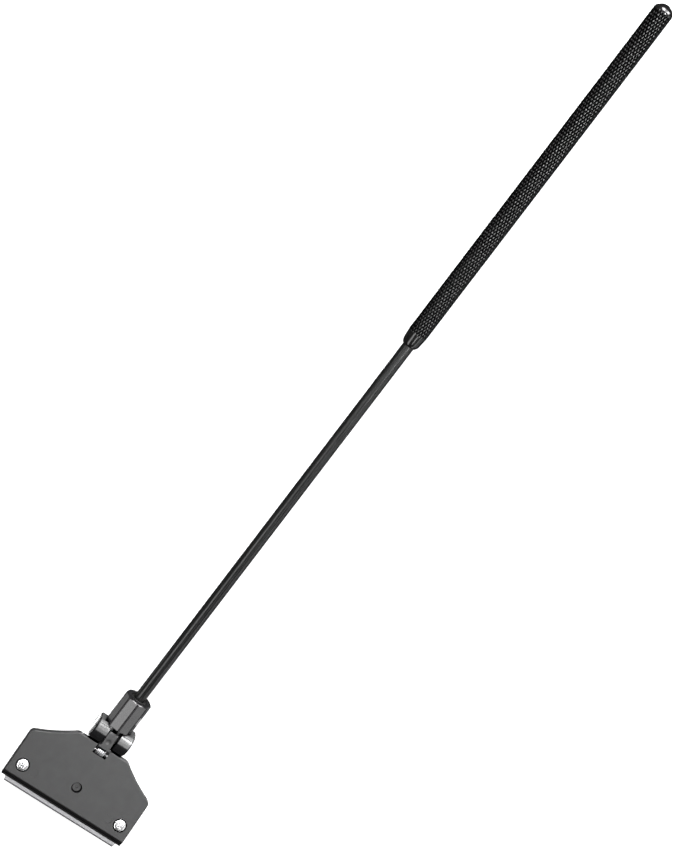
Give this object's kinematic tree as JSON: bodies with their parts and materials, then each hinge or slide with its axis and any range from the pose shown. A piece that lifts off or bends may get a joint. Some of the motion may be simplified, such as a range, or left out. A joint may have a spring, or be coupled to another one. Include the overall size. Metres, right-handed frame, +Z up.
{
  "type": "algae scraper",
  "caption": "Long-handled aquarium algae scraper: slim rod with a textured grip, and a pivoting, locking head that clamps a wide steel blade between two plates.",
  "frame": {"origin": "middle of the tool's length and width, on the surface that it rests on", "axes": "+X along the handle towards the grip end, +Y along the hinge axis and blade, +Z up, the side that the blade screws are driven from"},
  "size_m": [0.6372, 0.092, 0.0264],
  "materials": {
    "black_gloss_plastic": "glossy moulded black plastic",
    "dark_grey_plastic": "fine matte moulded dark grey plastic",
    "rod_black": "satin black coating on steel tube",
    "grip_black": "satin black vinyl with raised lozenges",
    "stainless_blade": "fine ground stainless steel",
    "bright_screw": "bright plated steel",
    "stainless_pin": "stainless steel wire and pins",
    "seal_rubber": "black rubber",
    "nylon_washer": "black nylon"
  },
  "bodies": {
    "handle": {"rod": "rod_black", "rod_lower_plug": "nylon_washer", "rod_cross_pin": "stainless_pin", "socket_seal": "seal_rubber", "yoke": "black_gloss_plastic", "hinge_pin": "stainless_pin", "hinge_clip": "stainless_pin", "hinge_caps": "black_gloss_plastic", "grip_collar": "grip_black", "grip_sleeve": "grip_black", "grip_end_cap": "grip_black"},
    "head": {"back_plate": "dark_grey_plastic", "front_plate": "dark_grey_plastic", "blade": "stainless_blade", "clamp_screws": "bright_screw", "clamp_nuts": "bright_screw", "hinge_washers": "nylon_washer", "tab_pin": "stainless_pin", "tab_spring": "stainless_pin"},
    "lock": {"lock_tab": "dark_grey_plastic"}
  },
  "joints": [
    {"name": "head_pivot", "type": "hinge", "parent": "handle", "child": "head", "pos_m": [-0.25841, 0, 0.00946], "axis": [0, 1, 0], "range_deg": [-104, 76]},
    {"name": "tab_press", "type": "hinge", "parent": "head", "child": "lock", "pos_m": [-0.27069, 0, 0.0152], "axis": [0, 1, 0], "range_deg": [0, 4], "stiffness_Nm_per_rad": 0.3, "springref_deg": -1.72}
  ]
}
